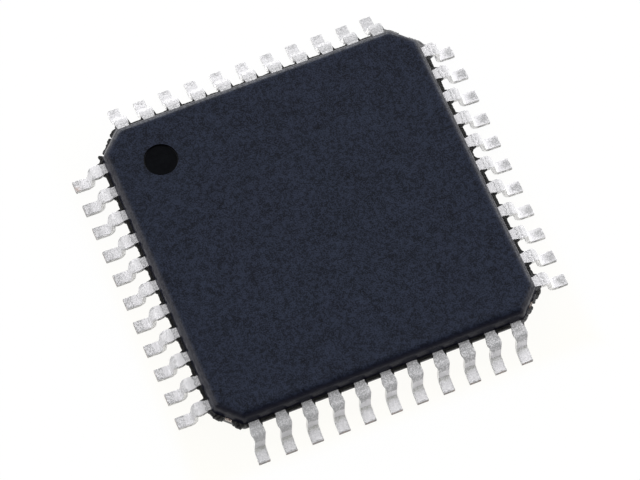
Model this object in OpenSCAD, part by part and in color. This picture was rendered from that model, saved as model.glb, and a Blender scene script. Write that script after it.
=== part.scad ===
// Microcontroller in a thin quad flat package: a moulded resin body with gull-wing leads on its four
// sides, and inside it the leadframe, the silicon die and the bond wires.
// Millimetres. The origin is the centre of the seating plane, +Z is up and the corner of lead 1 is
// at -X, +Y. Leads are counted counter-clockwise from that corner, as seen from above.

/* [Moulded body] */
// Distance from the last lead's centre line to the body's side
corner_margin = 1; // [0.95:0.05:2]
// Height of the body, underside to top
body_thickness = 1; // [0.9:0.05:1.4]
// Gap between the seating plane and the body's underside
stand_off = 0.1; // [0.05:0.01:0.15]
// How far the upper mould half stands back at the leads
upper_setback = 0.055; // [0:0.005:0.12]
// How far the lower mould half stands back at the leads
lower_setback = 0.04; // [0:0.005:0.12]
// Lean of the side walls, in degrees
wall_draft = 6; // [3:1:15]
// Length of side taken off by each bevelled corner
corner_cut = 0.7; // [0.5:0.05:0.8]
// Radius of the body's top and bottom edges
edge_radius = 0.24; // [0.1:0.01:0.3]
// How far the resin web between the leads reaches past the body
web_reach = 0.05; // [0.02:0.01:0.1]
// How far the tongues of resin beside each lead reach past the body
tongue_reach = 0.15; // [0.1:0.01:0.18]
// Width of a tongue at its root
tongue_width = 0.07; // [0.05:0.005:0.1]

/* [Marks in the body] */
// Diameter of the dimple beside lead 1
pin_mark_diameter = 1; // [0.6:0.05:1.4]
// Distance from the dimple's centre to the two nearest sides of the body
pin_mark_inset = 1.55; // [1.2:0.05:2.5]
// Depth of the dimple
pin_mark_depth = 0.06; // [0.03:0.01:0.1]
// Diameter of the ejector marks on the underside
ejector_diameter = 1.2; // [0.8:0.1:1.6]
// Distance from each ejector mark's centre to the two nearest sides
ejector_inset = 2; // [1.6:0.1:3]
// Depth of the ejector marks
ejector_depth = 0.03; // [0.02:0.01:0.06]

/* [Leads] */
// Leads on each side
leads_per_side = 11; // [7:2:13]
// Distance between neighbouring leads
lead_pitch = 0.8; // [0.65:0.05:1]
// Length of a lead outside the body, seen from above
lead_reach = 1; // [0.9:0.05:1.3]
// Thickness of the leadframe strip
lead_thickness = 0.127; // [0.1:0.001:0.2]
// Width of a lead where it leaves the body
neck_width = 0.32; // [0.22:0.01:0.36]
// Width over the stubs left by the sheared dam bar
stub_width = 0.41; // [0.38:0.01:0.46]
// Length of those stubs along the lead
stub_length = 0.14; // [0.08:0.01:0.2]
// Length over which the neck widens to those stubs
neck_flare = 0.18; // [0.1:0.01:0.22]
// Length over which a lead narrows past those stubs
flare_length = 0.07; // [0.03:0.01:0.1]
// Width of a lead on its slope
waist_width = 0.32; // [0.22:0.01:0.35]
// Width of the solder foot
foot_width = 0.35; // [0.25:0.01:0.45]
// Length of the flat part of the solder foot
foot_length = 0.38; // [0.3:0.01:0.5]
// Inside radius of the upper bend
knee_radius = 0.08; // [0.06:0.01:0.12]
// Inside radius of the lower bend
heel_radius = 0.1; // [0.06:0.01:0.14]
// Slope between the bends, in degrees from level
form_angle = 80; // [65:1:88]

/* [Leadframe inside] */
// Side of the square paddle that carries the die
paddle_size = 5.4; // [4.4:0.1:6]
// How far the paddle is pressed below the leads
paddle_downset = 0.18; // [0.13:0.01:0.22]
// Width of the bars that hold the paddle's corners
tie_bar_width = 0.2; // [0.15:0.01:0.25]
// Length over which a tie bar rises from the paddle to the leads
tie_bar_rise = 0.36; // [0.3:0.02:0.5]
// How far the sheared end of a tie bar stands out of its notch in the web
tie_bar_stub = 0.01; // [0.005:0.005:0.05]
// Depth of that notch from the web's edge
notch_depth = 0.08; // [0.05:0.01:0.1]
// Space at each side of a tie bar in that notch
notch_space = 0.02; // [0.01:0.01:0.05]
// Gap between the paddle and the leads' inner ends
tip_gap = 0.25; // [0.15:0.01:0.4]
// Space between neighbouring inner ends
tip_space = 0.22; // [0.15:0.01:0.25]
// Distance from the last inner end's centre line to the paddle's side
tip_margin = 0.3; // [0.25:0.01:0.5]
// Length of the straight inner end
tip_length = 0.35; // [0.3:0.01:0.5]
// Length of lead that stays straight inside the body's side
lock_length = 0.45; // [0.3:0.01:0.6]

/* [Die and bond wires] */
// Side of the square die
die_size = 3.4; // [2.6:0.1:4]
// Thickness of the die
die_thickness = 0.22; // [0.15:0.01:0.25]
// Thickness of the adhesive under the die
attach_thickness = 0.025; // [0.01:0.005:0.04]
// How far the adhesive spreads past the die
attach_spread = 0.06; // [0.02:0.01:0.2]
// Distance from a bond pad's centre to the die's edge
pad_inset = 0.1; // [0.06:0.01:0.2]
// Distance from the last bond pad to the die's corner
pad_margin = 0.35; // [0.2:0.01:0.5]
// Diameter of a bond wire
wire_diameter = 0.025; // [0.018:0.001:0.033]
// Diameter of the ball at a wire's die end
ball_diameter = 0.07; // [0.05:0.005:0.09]
// Height of that ball
ball_height = 0.016; // [0.01:0.001:0.025]
// Height of a wire's top above the die
loop_height = 0.14; // [0.12:0.01:0.16]
// Radius of a wire's bend above the ball
loop_radius = 0.06; // [0.04:0.005:0.08]
// Distance from a lead's inner end to the middle of its wire's bond
stitch_inset = 0.16; // [0.14:0.01:0.2]

/* [Hidden] */
$fn = 32;
// Steps in each rounded edge and bend
arc_steps = 5;
// Flat faces round a bond wire and its ball, and steps in the wire's bend
wire_sides = 6;
ball_sides = 8;
loop_steps = 3;
// Overlap that keeps cutting faces clear of the faces that they cut
clear = 0.2;

sides = ["left", "front", "right", "back"];
lead_count = len(sides) * leads_per_side;
middle_step = (leads_per_side - 1) / 2;
body_size = (leads_per_side - 1) * lead_pitch + 2 * corner_margin;
body_half = body_size / 2;
corner_half = (body_size - corner_cut) / sqrt(2);

body_bottom = stand_off;
body_top = stand_off + body_thickness;
lead_middle = stand_off + body_thickness / 2;
lead_top = lead_middle + lead_thickness / 2;
lead_bottom = lead_middle - lead_thickness / 2;
paddle_top = lead_top - paddle_downset;
die_bottom = paddle_top + attach_thickness;
die_top = die_bottom + die_thickness;

// Gull-wing form: the bends' middle radii, the straight slope, what is left for the shoulder, and the
// stubs, which end part of the way round the upper bend
knee_middle = knee_radius + lead_thickness / 2;
heel_middle = heel_radius + lead_thickness / 2;
bends = knee_middle + heel_middle;
form_drop = lead_middle - lead_thickness / 2;
slope_length = (form_drop - bends * (1 - cos(form_angle))) / sin(form_angle);
form_run = bends * sin(form_angle) + slope_length * cos(form_angle);
toe = body_half + lead_reach;
heel = toe - foot_length;
knee = heel - form_run;
stub_end = knee + knee_middle / 2;
stub_start = stub_end - stub_length;

// Inner face of the notch in the web at each tie bar's end, from the middle of the chip
notch_face = corner_half + web_reach - notch_depth;

// Inner ends of the leads, spread along the paddle's sides, and the pads along the die's sides
tip = paddle_size / 2 + tip_gap;
tip_pitch = (paddle_size - 2 * tip_margin) / (leads_per_side - 1);
tip_width = tip_pitch - tip_space;
pad_pitch = (die_size - 2 * pad_margin) / (leads_per_side - 1);
pad_row = die_size / 2 - pad_inset;

function lead_name(i) = str("lead_", i < 10 ? "0" : "", i);
function wires_name(side) = str("bond_wires_", side);
function side_angle(k) = 180 + 90 * k;

function arc(centre, radius, from, to) = [
    for (k = [0 : arc_steps])
        let (a = from + (to - from) * k / arc_steps)
        centre + radius * [cos(a), sin(a)]
];

function mirrored(points) = [for (k = [len(points) - 1 : -1 : 0]) [-points[k].x, points[k].y]];

// Right half of the body's section, from the underside up, for a side at the given distance
function half_section(half) =
    let (
        lower_edge = half - lower_setback - (lead_bottom - body_bottom) * tan(wall_draft),
        upper_edge = half - upper_setback - (body_top - lead_top) * tan(wall_draft),
        inset = edge_radius * (1 - sin(wall_draft)) / cos(wall_draft)
    )
    concat(
        arc([lower_edge - inset, body_bottom + edge_radius], edge_radius, -90, -wall_draft),
        [
            [half - lower_setback, lead_bottom],
            [half + web_reach, lead_bottom],
            [half + web_reach, lead_top],
            [half - upper_setback, lead_top]
        ],
        arc([upper_edge - inset, body_top - edge_radius], edge_radius, wall_draft, 90)
    );

// Side view of a lead, outward along x and up along y, starting at its inner end
function lead_profile() =
    let (
        upper = [knee, lead_middle - knee_middle],
        lower = [heel, lead_thickness / 2 + heel_middle]
    )
    concat(
        [[tip, lead_top]],
        arc(upper, knee_radius + lead_thickness, 90, 90 - form_angle),
        arc(lower, heel_radius, 270 - form_angle, 270),
        [[toe, lead_thickness], [toe, 0]],
        arc(lower, heel_radius + lead_thickness, 270, 270 - form_angle),
        arc(upper, knee_radius, 90 - form_angle, 90),
        [[tip, lead_bottom]]
    );

// Distance out, width and centre line at each change in a lead's plan
function lead_stations(step) =
    let (row = (step - middle_step) * lead_pitch, end = (step - middle_step) * tip_pitch)
    [
        [tip - clear, tip_width, end],
        [tip + tip_length, tip_width, end],
        [body_half - lock_length, neck_width, row],
        [stub_start - neck_flare, neck_width, row],
        [stub_start, stub_width, row],
        [stub_end, stub_width, row],
        [stub_end + flare_length, waist_width, row],
        [heel, foot_width, row],
        [toe + clear, foot_width, row]
    ];

function lead_plan(step) =
    let (stations = lead_stations(step), last = len(stations) - 1)
    concat(
        [for (s = stations) [s[0], s[2] - s[1] / 2]],
        [for (k = [last : -1 : 0]) [stations[k][0], stations[k][2] + stations[k][1] / 2]]
    );

function unit(v) = v / norm(v);
function left_of(v) = [-v.y, v.x];

// Centre line of a wire, along x and up y: a rise from the ball, a bend over and a run down to the lead
function wire_line(length) =
    let (
        bend = [loop_radius, die_top + loop_height - loop_radius],
        away = [length, lead_top] - bend,
        tilt = atan2(-away.y, away.x) + asin(loop_radius / norm(away))
    )
    concat(
        [[0, die_top + ball_height]],
        [
            for (k = [0 : loop_steps])
                let (a = 180 - (90 + tilt) * k / loop_steps)
                bend + loop_radius * [cos(a), sin(a)]
        ],
        [[length, lead_top]]
    );

// Direction in which the wire's section is stretched at a point of its line: square at the ball, along
// the mitre at each bend and level where it is pressed onto the lead
function wire_slant(line, k) =
    let (
        last = len(line) - 1,
        before = left_of(unit(line[max(k, 1)] - line[max(k, 1) - 1])),
        after = left_of(unit(line[min(k + 1, last)] - line[min(k, last - 1)]))
    )
    k == last ? [1 / before.x, 0] : (before + after) / (1 + before * after);

module bar_across(length, points)
    rotate([90, 0, 0])
        linear_extrude(length, center = true)
            polygon(points);

module body_envelope()
    intersection_for (k = [0 : 3])
        rotate(45 * k) {
            half = half_section(k % 2 == 0 ? body_half : corner_half);
            bar_across(2 * body_size, concat(half, mirrored(half)));
        }

// Resin that filled the space beside each lead's neck, behind the dam bar
module web_tongues() {
    span = neck_width + 2 * tongue_width;
    for (k = [0 : 3])
        rotate(side_angle(k))
            translate([body_half, 0, lead_bottom])
                linear_extrude(lead_thickness)
                    for (step = [0 : leads_per_side - 1])
                        translate([0, (step - middle_step) * lead_pitch - span / 2])
                            square([tongue_reach, span]);
}

module pin_mark()
    translate([pin_mark_inset - body_half, body_half - pin_mark_inset, body_top - pin_mark_depth])
        cylinder(d = pin_mark_diameter, h = pin_mark_depth + clear);

module ejector_marks()
    for (x = [-1, 1], y = [-1, 1])
        translate([x * (body_half - ejector_inset), y * (body_half - ejector_inset), body_bottom - clear])
            cylinder(d = ejector_diameter, h = ejector_depth + clear);

module tie_bar_notches() {
    width = tie_bar_width + 2 * notch_space;
    for (k = [0 : 3])
        rotate(45 + 90 * k)
            translate([notch_face, -width / 2, lead_bottom])
                cube([notch_depth + clear, width, lead_thickness]);
}

module mould_body()
    color([0.15, 0.165, 0.21])
        difference() {
            union() {
                body_envelope();
                web_tongues();
            }
            pin_mark();
            ejector_marks();
            tie_bar_notches();
            for (i = [1 : lead_count]) lead(i);
            die_paddle();
            die_attach();
            die();
            for (k = [0 : 3]) bond_wires(k);
        }

module lead(i) {
    k = floor((i - 1) / leads_per_side);
    step = (i - 1) % leads_per_side;
    color([0.82, 0.82, 0.83])
        rotate(side_angle(k))
            intersection() {
                bar_across(body_size, lead_profile());
                translate([0, 0, -clear])
                    linear_extrude(lead_top + 2 * clear)
                        polygon(lead_plan(step));
            }
}

// Bar along +X from well inside the paddle's corner to its sheared end
module tie_bar() {
    root = paddle_size / 2;
    bend = paddle_size / sqrt(2) + tip_gap;
    end = notch_face + tie_bar_stub;
    drop = [0, -lead_thickness];
    top = [[root, paddle_top], [bend, paddle_top], [bend + tie_bar_rise, lead_top], [end, lead_top]];
    bar_across(tie_bar_width, concat(top, [for (k = [len(top) - 1 : -1 : 0]) top[k] + drop]));
}

module square_slab(side, bottom, height)
    translate([-side / 2, -side / 2, bottom])
        cube([side, side, height]);

module die_paddle()
    color([0.72, 0.45, 0.3])
        union() {
            square_slab(paddle_size, paddle_top - lead_thickness, lead_thickness);
            for (k = [0 : 3])
                rotate(45 + 90 * k)
                    tie_bar();
        }

module die_attach()
    color([0.75, 0.75, 0.72])
        square_slab(die_size + 2 * attach_spread, paddle_top, attach_thickness);

module die()
    color([0.35, 0.37, 0.42])
        square_slab(die_size, die_bottom, die_thickness);

// One wire along +X: a ball on the die, then the wire swept along its centre line
module bond_wire(length) {
    line = wire_line(length);
    last = len(line) - 1;
    rings = [
        for (k = [0 : last], j = [0 : wire_sides - 1])
            let (a = 360 * j / wire_sides, p = line[k] + wire_diameter / 2 * cos(a) * wire_slant(line, k))
            [p.x, wire_diameter / 2 * sin(a), p.y]
    ];
    walls = [
        for (k = [0 : last - 1], j = [0 : wire_sides - 1])
            let (next = (j + 1) % wire_sides, a = k * wire_sides, b = a + wire_sides)
            [a + j, a + next, b + next, b + j]
    ];
    start = [for (j = [wire_sides - 1 : -1 : 0]) j];
    end = [for (j = [0 : wire_sides - 1]) last * wire_sides + j];
    translate([0, 0, die_top])
        cylinder(d = ball_diameter, h = ball_height, $fn = ball_sides);
    polyhedron(rings, concat([start, end], walls));
}

module bond_wires(k)
    color([0.85, 0.68, 0.25])
        rotate(side_angle(k))
            for (step = [0 : leads_per_side - 1]) {
                from = [pad_row, (step - middle_step) * pad_pitch];
                to = [tip + stitch_inset, (step - middle_step) * tip_pitch];
                span = to - from;
                translate([from.x, from.y, 0])
                    rotate(atan2(span.y, span.x))
                        bond_wire(norm(span));
            }

mould_body();
die_paddle();
die_attach();
die();
for (i = [1 : lead_count]) lead(i);
for (k = [0 : 3]) bond_wires(k);
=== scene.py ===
"""Visual model of a microcontroller in a thin quad flat package, dressed over its CAD frame."""

import math
import random
from types import SimpleNamespace

import bmesh
import bpy
from bpy.props import FloatProperty, FloatVectorProperty, IntProperty, PointerProperty
from mathutils import Matrix, Vector, noise


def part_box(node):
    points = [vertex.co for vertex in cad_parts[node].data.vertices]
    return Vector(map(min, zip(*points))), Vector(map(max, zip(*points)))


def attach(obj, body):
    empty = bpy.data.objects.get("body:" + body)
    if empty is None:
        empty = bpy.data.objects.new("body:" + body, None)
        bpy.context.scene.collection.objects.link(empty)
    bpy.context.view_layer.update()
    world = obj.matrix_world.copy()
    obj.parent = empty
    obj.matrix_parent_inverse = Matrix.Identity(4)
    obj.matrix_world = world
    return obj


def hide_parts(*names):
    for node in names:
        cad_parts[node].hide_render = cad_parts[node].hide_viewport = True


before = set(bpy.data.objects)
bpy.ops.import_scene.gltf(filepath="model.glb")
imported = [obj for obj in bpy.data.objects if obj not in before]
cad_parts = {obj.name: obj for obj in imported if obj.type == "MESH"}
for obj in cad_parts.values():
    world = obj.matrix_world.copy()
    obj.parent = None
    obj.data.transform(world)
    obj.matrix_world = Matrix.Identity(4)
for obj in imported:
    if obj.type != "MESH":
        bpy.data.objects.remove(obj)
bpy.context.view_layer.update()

bl_info = {
    "name": "Microcontroller chip",
    "version": (1, 0, 0),
    "blender": (4, 5, 0),
    "location": "3D View > Sidebar > Chip",
    "description": "Models the moulded body and the formed leads of a quad flat chip",
    "category": "Object",
}

MM = 0.001
ROOT2 = math.sqrt(2)
SIDES = ("left", "front", "right", "back")
LEADS_PER_SIDE = len([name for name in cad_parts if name.startswith("lead_")]) // len(SIDES)
MIDDLE_STEP = (LEADS_PER_SIDE - 1) / 2
SHARP_ANGLE = math.radians(20)

BODY_LOW, BODY_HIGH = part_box("mould_body")
LEAD_LOW, LEAD_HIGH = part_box("lead_06")
NEXT_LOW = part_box("lead_07")[0]


def length(name, description, default):
    """A length that a user may change, in metres."""
    return FloatProperty(name=name, description=description, default=default, precision=6,
                         unit="LENGTH", subtype="DISTANCE")


def angle(name, description, degrees):
    """An angle that a user may change; the default is given in degrees."""
    return FloatProperty(name=name, description=description, default=math.radians(degrees),
                         unit="ROTATION", subtype="ANGLE")


def share(name, description, default):
    """A plain number from 0 up, such as a strength or a roughness."""
    return FloatProperty(name=name, description=description, default=default, min=0.0)


def colour(name, description, default):
    """A colour that a user may change."""
    return FloatVectorProperty(name=name, description=description, default=default, size=3, min=0.0,
                               max=1.0, subtype="COLOR")


class BodySettings(bpy.types.PropertyGroup):
    """Sizes and colours of the moulded body."""
    half: length("Half width", "Middle of the chip to the side of the lower mould half", 5.0 * MM)
    top: length("Top", "Height of the top face", BODY_HIGH.z)
    bottom: length("Underside", "Height of the underside", BODY_LOW.z)
    low_setback: length("Lower setback", "How far the lower mould half stands back at the leads", 0.04 * MM)
    setback: length("Setback", "How far the upper mould half stands back at the leads", 0.055 * MM)
    corner_cut: length("Corner cut", "Length of side taken off by each bevelled corner", 0.7 * MM)
    draft: angle("Draft", "Lean of the side walls", 6)
    edge_radius: length("Edge radius", "Radius of the top and bottom edges", 0.24 * MM)
    corner_round: length("Corner round", "Reach of the rounding where a side meets a corner", 0.07 * MM)
    web_gap: length("Web gap", "How much lower than the leads the web of resin lies", 0.01 * MM)
    web_round: length("Web round", "Rounding of the web's outer edge", 0.015 * MM)
    tongue: length("Tongue", "How far the resin beside a lead reaches past the body", 0.18 * MM)
    tongue_width: length("Tongue width", "Width of the resin beside a lead", 0.085 * MM)
    notch: length("Notch", "How far the web is broken back between the remnants at a corner", 0.03 * MM)
    web_wander: length("Web wander", "How much the web's edge wanders", 0.015 * MM)
    mark_diameter: length("Mark diameter", "Diameter of the dimple beside lead 1", 1.0 * MM)
    mark_inset: length("Mark inset", "Middle of the dimple to the two nearest sides", 1.55 * MM)
    mark_depth: length("Mark depth", "Depth of the dimple", 0.06 * MM)
    ejector_diameter: length("Ejector diameter", "Diameter of the ejector marks on the underside", 1.2 * MM)
    ejector_inset: length("Ejector inset", "Middle of an ejector mark to the two nearest sides", 2.0 * MM)
    ejector_depth: length("Ejector depth", "Depth of the ejector marks", 0.03 * MM)
    top_colour: colour("Top colour", "Resin on the textured top face", (0.0121, 0.0156, 0.0271))
    wall_colour: colour("Wall colour", "Resin on the side walls", (0.005, 0.0055, 0.013))
    gloss: share("Gloss", "Gloss of the resin all over", 0.1)
    gloss_colour: colour("Gloss colour", "Tint of that gloss", (0.93, 0.925, 1.0))
    wall_coat: share("Wall coat", "Further gloss down the walls, which the mould polished", 0.15)
    edge_coat: share("Edge coat", "Further gloss on the rounded top edge", 0.5)
    # Painted highlights: the edges' gloss is set side by side
    right_gain: share("Right gain", "How many times as glossy the right edge is", 1.9)
    front_gain: share("Front gain", "How many times as glossy the front edge is", 0.7)
    roughness: share("Roughness", "Roughness of the top face", 0.44)
    # Freshly broken resin, and also painted light: the back right corner's resin is made paler with this
    # colour
    chipped_and_lit_colour: colour("Chipped colour", "Freshly broken resin at the corners", (0.16, 0.16, 0.165))
    # Painted highlight along a ledge at the back left
    ledge_highlight_colour: colour("Ledge colour", "Pale ledge of resin at the back left", (0.28, 0.28, 0.3))
    flash_colour: colour("Flash colour", "Raw resin between leads and at corners", (0.008, 0.008, 0.008))


class LeadSettings(bpy.types.PropertyGroup):
    """Sizes and colours of the formed leads."""
    pitch: length("Pitch", "Distance between neighbouring leads", LEAD_LOW.y - NEXT_LOW.y)
    top: length("Top", "Height of the leads' upper face at the body", LEAD_HIGH.z)
    thickness: length("Thickness", "Thickness of the leadframe strip", 0.127 * MM)
    tip: length("Tip", "Middle of the chip to the inner end of a lead", -LEAD_HIGH.x)
    toe: length("Toe", "Middle of the chip to the toe of a lead", -LEAD_LOW.x)
    tip_pitch: length("Tip pitch", "Distance between neighbouring inner ends", 0.48 * MM)
    tip_width: length("Tip width", "Width of an inner end", 0.26 * MM)
    tip_length: length("Tip length", "Length of the straight inner end", 0.35 * MM)
    lock_length: length("Lock length", "Length that stays straight inside the body's side", 0.45 * MM)
    neck_width: length("Neck width", "Width where a lead leaves the body", 0.32 * MM)
    neck_flare: length("Neck flare", "Length over which the neck widens to the stubs", 0.18 * MM)
    stub_width: length("Stub width", "Width over the stubs of the sheared dam bar", LEAD_HIGH.y - LEAD_LOW.y)
    stub_length: length("Stub length", "Length of those stubs", 0.14 * MM)
    flare_length: length("Flare length", "Length over which a lead changes its width", 0.07 * MM)
    waist_width: length("Waist width", "Width on the slope", 0.32 * MM)
    foot_width: length("Foot width", "Width of the solder foot", 0.35 * MM)
    foot_length: length("Foot length", "Length of the flat part of the foot", 0.38 * MM)
    knee_radius: length("Knee radius", "Inside radius of the upper bend", 0.08 * MM)
    heel_radius: length("Heel radius", "Inside radius of the lower bend", 0.1 * MM)
    form_angle: angle("Form angle", "Slope between the bends, from level", 80)
    edge_round: length("Edge round", "Rounding of the stamped edges", 0.012 * MM)
    bend_steps: IntProperty(name="Bend steps", description="Steps in each bend", default=9, min=3)
    tin_colour: colour("Tin colour", "Matte tin plating", (0.92, 0.91, 0.935))
    # Stain and painted shade: the front row's heel crease is darkened with this colour
    stain_and_shade_colour: colour("Stain colour", "Stained tin at the heels and feet", (0.40, 0.405, 0.36))
    # Also painted shade: the darker necks, knees and slopes of each row are mixed towards this colour
    dull_and_shade_colour: colour("Dull colour", "Tin that the forming tool has pressed", (0.42, 0.42, 0.43))
    # Painted light: the flanks beside the slope are paler than the tin
    flank_colour: colour("Flank colour", "Flanks beside the slope", (0.99, 0.985, 0.98))
    # Painted shade on the flanks beside the flat lengths
    shade_colour: colour("Shade colour", "Flanks beside the flat lengths", (0.16, 0.16, 0.16))
    # Painted shade: the leads get darker towards one corner of their row
    corner_shade: share("Corner shade", "Dulling of the leads next to the darker corners", 0.36)
    copper_colour: colour("Copper colour", "Bare copper on a sheared toe", (0.60, 0.42, 0.34))


class InsideSettings(bpy.types.PropertyGroup):
    """Colours of what the body holds."""
    copper: colour("Copper", "Rolled copper of the paddle and its bars", (0.72, 0.45, 0.30))
    adhesive: colour("Adhesive", "Silver-filled adhesive under the die", (0.62, 0.62, 0.60))
    silicon: colour("Silicon", "Polished silicon", (0.10, 0.11, 0.14))
    circuit: colour("Circuit", "Metal layers on the die", (0.35, 0.30, 0.22))
    tarnish: colour("Tarnish", "Sheared ends of the tie bars", (0.12, 0.075, 0.055))
    smear: colour("Smear", "Tin smeared over the sheared ends", (0.55, 0.48, 0.44))
    gold: colour("Gold", "Bond wire", (0.83, 0.62, 0.20))


class StageSettings(bpy.types.PropertyGroup):
    """Camera, light and floor."""
    azimuth: angle("Azimuth", "Camera's turn from the front towards the left", 22.893)
    elevation: angle("Elevation", "Camera's height above the horizon", 64.526)
    roll: angle("Roll", "Camera's turn about its own axis", 0.45)
    distance: length("Distance", "Camera to target", 123.868 * MM)
    target: FloatVectorProperty(name="Target", description="Point at the middle of the picture", size=3,
                                default=(-0.0976 * MM, -0.3907 * MM, 0.5 * MM), unit="LENGTH",
                                subtype="XYZ")
    sensor: FloatProperty(name="Sensor", description="Sensor width in millimetres", default=36.0)
    lens: FloatProperty(name="Lens", description="Focal length in millimetres", default=243.61)
    floor_half: length("Floor", "Half the width of the floor", 0.6)
    floor_colour: colour("Floor colour", "White paper", (0.96, 0.95, 0.93))
    floor_glow: share("Floor glow", "Share of the floor that shows as plain white paper", 0.97)
    fade_start: length("Fade start", "Distance towards the camera at which reflections fade", 6.5 * MM)
    fade_end: length("Fade end", "Distance at which they have faded", 12 * MM)
    fade_level: share("Fade level", "What is left of them there", 0.3)
    # Painted warm shade on the floor close to the near leads
    warm_shade_colour: colour("Warm colour", "Floor close to the near leads", (1.0, 0.99, 0.955))
    warm_start: length("Warm start", "Distance from the middle up to which the floor is warm", 5.8 * MM)
    warm_end: length("Warm end", "Distance from the middle at which the floor is white", 6.5 * MM)
    wall_light: share("Wall light", "Brightness of the white wall at the back", 2.5)
    front_light: share("Front light", "Brightness of the wall behind the camera", 0.3)
    dome_light: share("Dome light", "Brightness of the ceiling towards the back", 0.5)
    wall_middle: angle("Wall middle", "Elevation up to which the walls are fully bright", 18)
    wall_top: angle("Wall top", "Elevation at which the walls end", 60)
    left_box: share("Left soft box", "Brightness of the soft box on the left", 1.7)
    right_box: share("Right soft box", "Brightness of the soft box on the right", 1.4)
    left_rise: angle("Left rise", "Elevation of the soft box on the left", 46)
    right_rise: angle("Right rise", "Elevation of the soft box on the right", 36)
    box_swing: angle("Soft box swing", "How far both soft boxes are swung towards the back", 13)
    box_inner: angle("Soft box inner", "Half angle of the evenly bright middle of a soft box", 18)
    box_outer: angle("Soft box outer", "Half angle at which a soft box ends", 32)


def own_properties(settings):
    """The properties that a group of settings declares itself."""
    return [prop for prop in settings.bl_rna.properties if prop.identifier not in ("rna_type", "name")]


def in_mm(settings):
    """The values of a group of settings by name, with its lengths in millimetres."""
    values = {}
    for prop in own_properties(settings):
        value = getattr(settings, prop.identifier)
        is_length = prop.type == "FLOAT" and prop.unit == "LENGTH" and not prop.is_array
        values[prop.identifier] = value / MM if is_length else value
    return SimpleNamespace(**values)


def turn(degrees):
    """Turn about the chip's middle, seen from above."""
    return Matrix.Rotation(math.radians(degrees), 2)


def side_angle(number):
    """Direction in which a side of the chip faces: left, front, right and back in turn."""
    return 180 + 90 * number


def smooth(value):
    """0 below 0, 1 above 1 and an even curve between."""
    value = min(max(value, 0.0), 1.0)
    return value * value * (3 - 2 * value)


def of_type(items, kind):
    """Those of a bmesh operator's results that are of one type."""
    return [item for item in items if isinstance(item, kind)]


def make_piece(bm, name, materials, replaced):
    """Turns a bmesh in millimetres into a finished piece of the object that rides on the chip."""
    bmesh.ops.recalc_face_normals(bm, faces=bm.faces)
    bmesh.ops.scale(bm, vec=(MM, MM, MM), verts=bm.verts)
    mesh = bpy.data.meshes.new(name)
    bm.to_mesh(mesh)
    bm.free()
    for material in materials:
        mesh.materials.append(material)
    mesh.shade_smooth()
    mesh.set_sharp_from_angle(angle=SHARP_ANGLE)
    piece = bpy.data.objects.new(name, mesh)
    bpy.context.scene.collection.objects.link(piece)
    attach(piece, "root")
    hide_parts(replaced)
    return piece


# Places of the finishes in the body's and in a lead's list of materials
POLISHED, RAW = 1, 2
CUT, FLANK = 1, 2
# Remnants of resin at each bevelled corner: place along the corner, half width and reach, in millimetres
CORNER_REMNANTS = {
    "front left": ((-0.46, 0.12, 0.075), (-0.30, 0.12, 0.085), (-0.20, 0.07, 0.08), (0.18, 0.06, 0.07),
                   (0.34, 0.16, 0.095)),
    "front right": ((-0.36, 0.14, 0.01), (-0.18, 0.10, 0.045), (-0.06, 0.06, 0.055), (0.18, 0.10, 0.035),
                    (0.36, 0.14, 0.06), (0.52, 0.10, 0.08)),
    "back right": ((-0.64, 0.06, 0.07), (-0.28, 0.26, 0.085), (0.36, 0.24, 0.095), (0.62, 0.09, 0.09)),
    "back left": ((-0.52, 0.14, 0.09), (-0.42, 0.12, 0.09), (-0.18, 0.11, 0.07), (-0.05, 0.12, 0.05),
                  (0.08, 0.12, 0.035), (0.20, 0.09, 0.05), (0.47, 0.14, 0.12), (0.60, 0.13, 0.12)),
}
# How far the web reaches past each side, in millimetres
WEB_REACH = {"left": 0.035, "front": 0.01, "right": 0.085, "back": 0.095}
# Bites out of the web: place along the side, half width and depth, in millimetres
WEB_BITES = {"right": ((0.4, 0.16, 0.06), (-2.8, 0.16, 0.025))}
# How much of the tongues of resin is left before and after each lead, counted round the body
ROW_TONGUES = {"left": (1.0, 0.45), "front": (0.2, 0.8), "right": (1.0, 0.9), "back": (1.6, 0.85)}
# What chance leaves of a tongue
TONGUE_CHANCES = (0.75, 0.9, 1.0, 1.0, 1.1)
# How steep the flanks of tongues and bites are, and those of remnants
TONGUE_STEEPNESS = 1.8
REMNANT_STEEPNESS = 2.2
# Least reach of the web, in roundings of its edge
LEAST_WEB = 1.5
# Wander of a broken edge on sides and corners: waves along it, shift to the next one, start and chance
SIDE_WANDER = (5, 9.1, 0.3, 0.5)
CORNER_WANDER = (9, 5.7, 2.1, 0.4)
RING_SEED = 11
# Parts of the gap between two leads, of the end of a side and of a turn at which the outline has points
GAP_STEPS = (0.0, 0.03, 0.06, 0.09, 0.12, 0.17, 0.24, 0.32, 0.41, 0.5, 0.59, 0.68, 0.76, 0.83, 0.88, 0.91,
             0.94, 0.97)
END_STEPS = (0.0, 0.2, 0.4, 0.6, 0.8, 1.0)
ROUND_STEPS = (0.25, 0.5, 0.75)
CORNER_STEPS = 44
ARC_STEPS = 7
# Width of the even rim round the top face and the underside, in millimetres
RIM_WIDTH = 0.04
# Rings of a dish from its rim inwards: inset in lips and part of its depth; a lip is a part of the depth
DISH_RINGS = ((0.3, 0.05), (1, 0.2), (1.4, 0.8), (2, 0.93), (3, 1.0), (5, 1.0))
LIP_PART = 0.15
DISH_STEPS = 72
MERGE_DISTANCE = 1e-5


def corner_distance(body):
    """Middle of the chip to the face of a bevelled corner."""
    return (2 * body.half - body.corner_cut) / ROOT2


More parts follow.
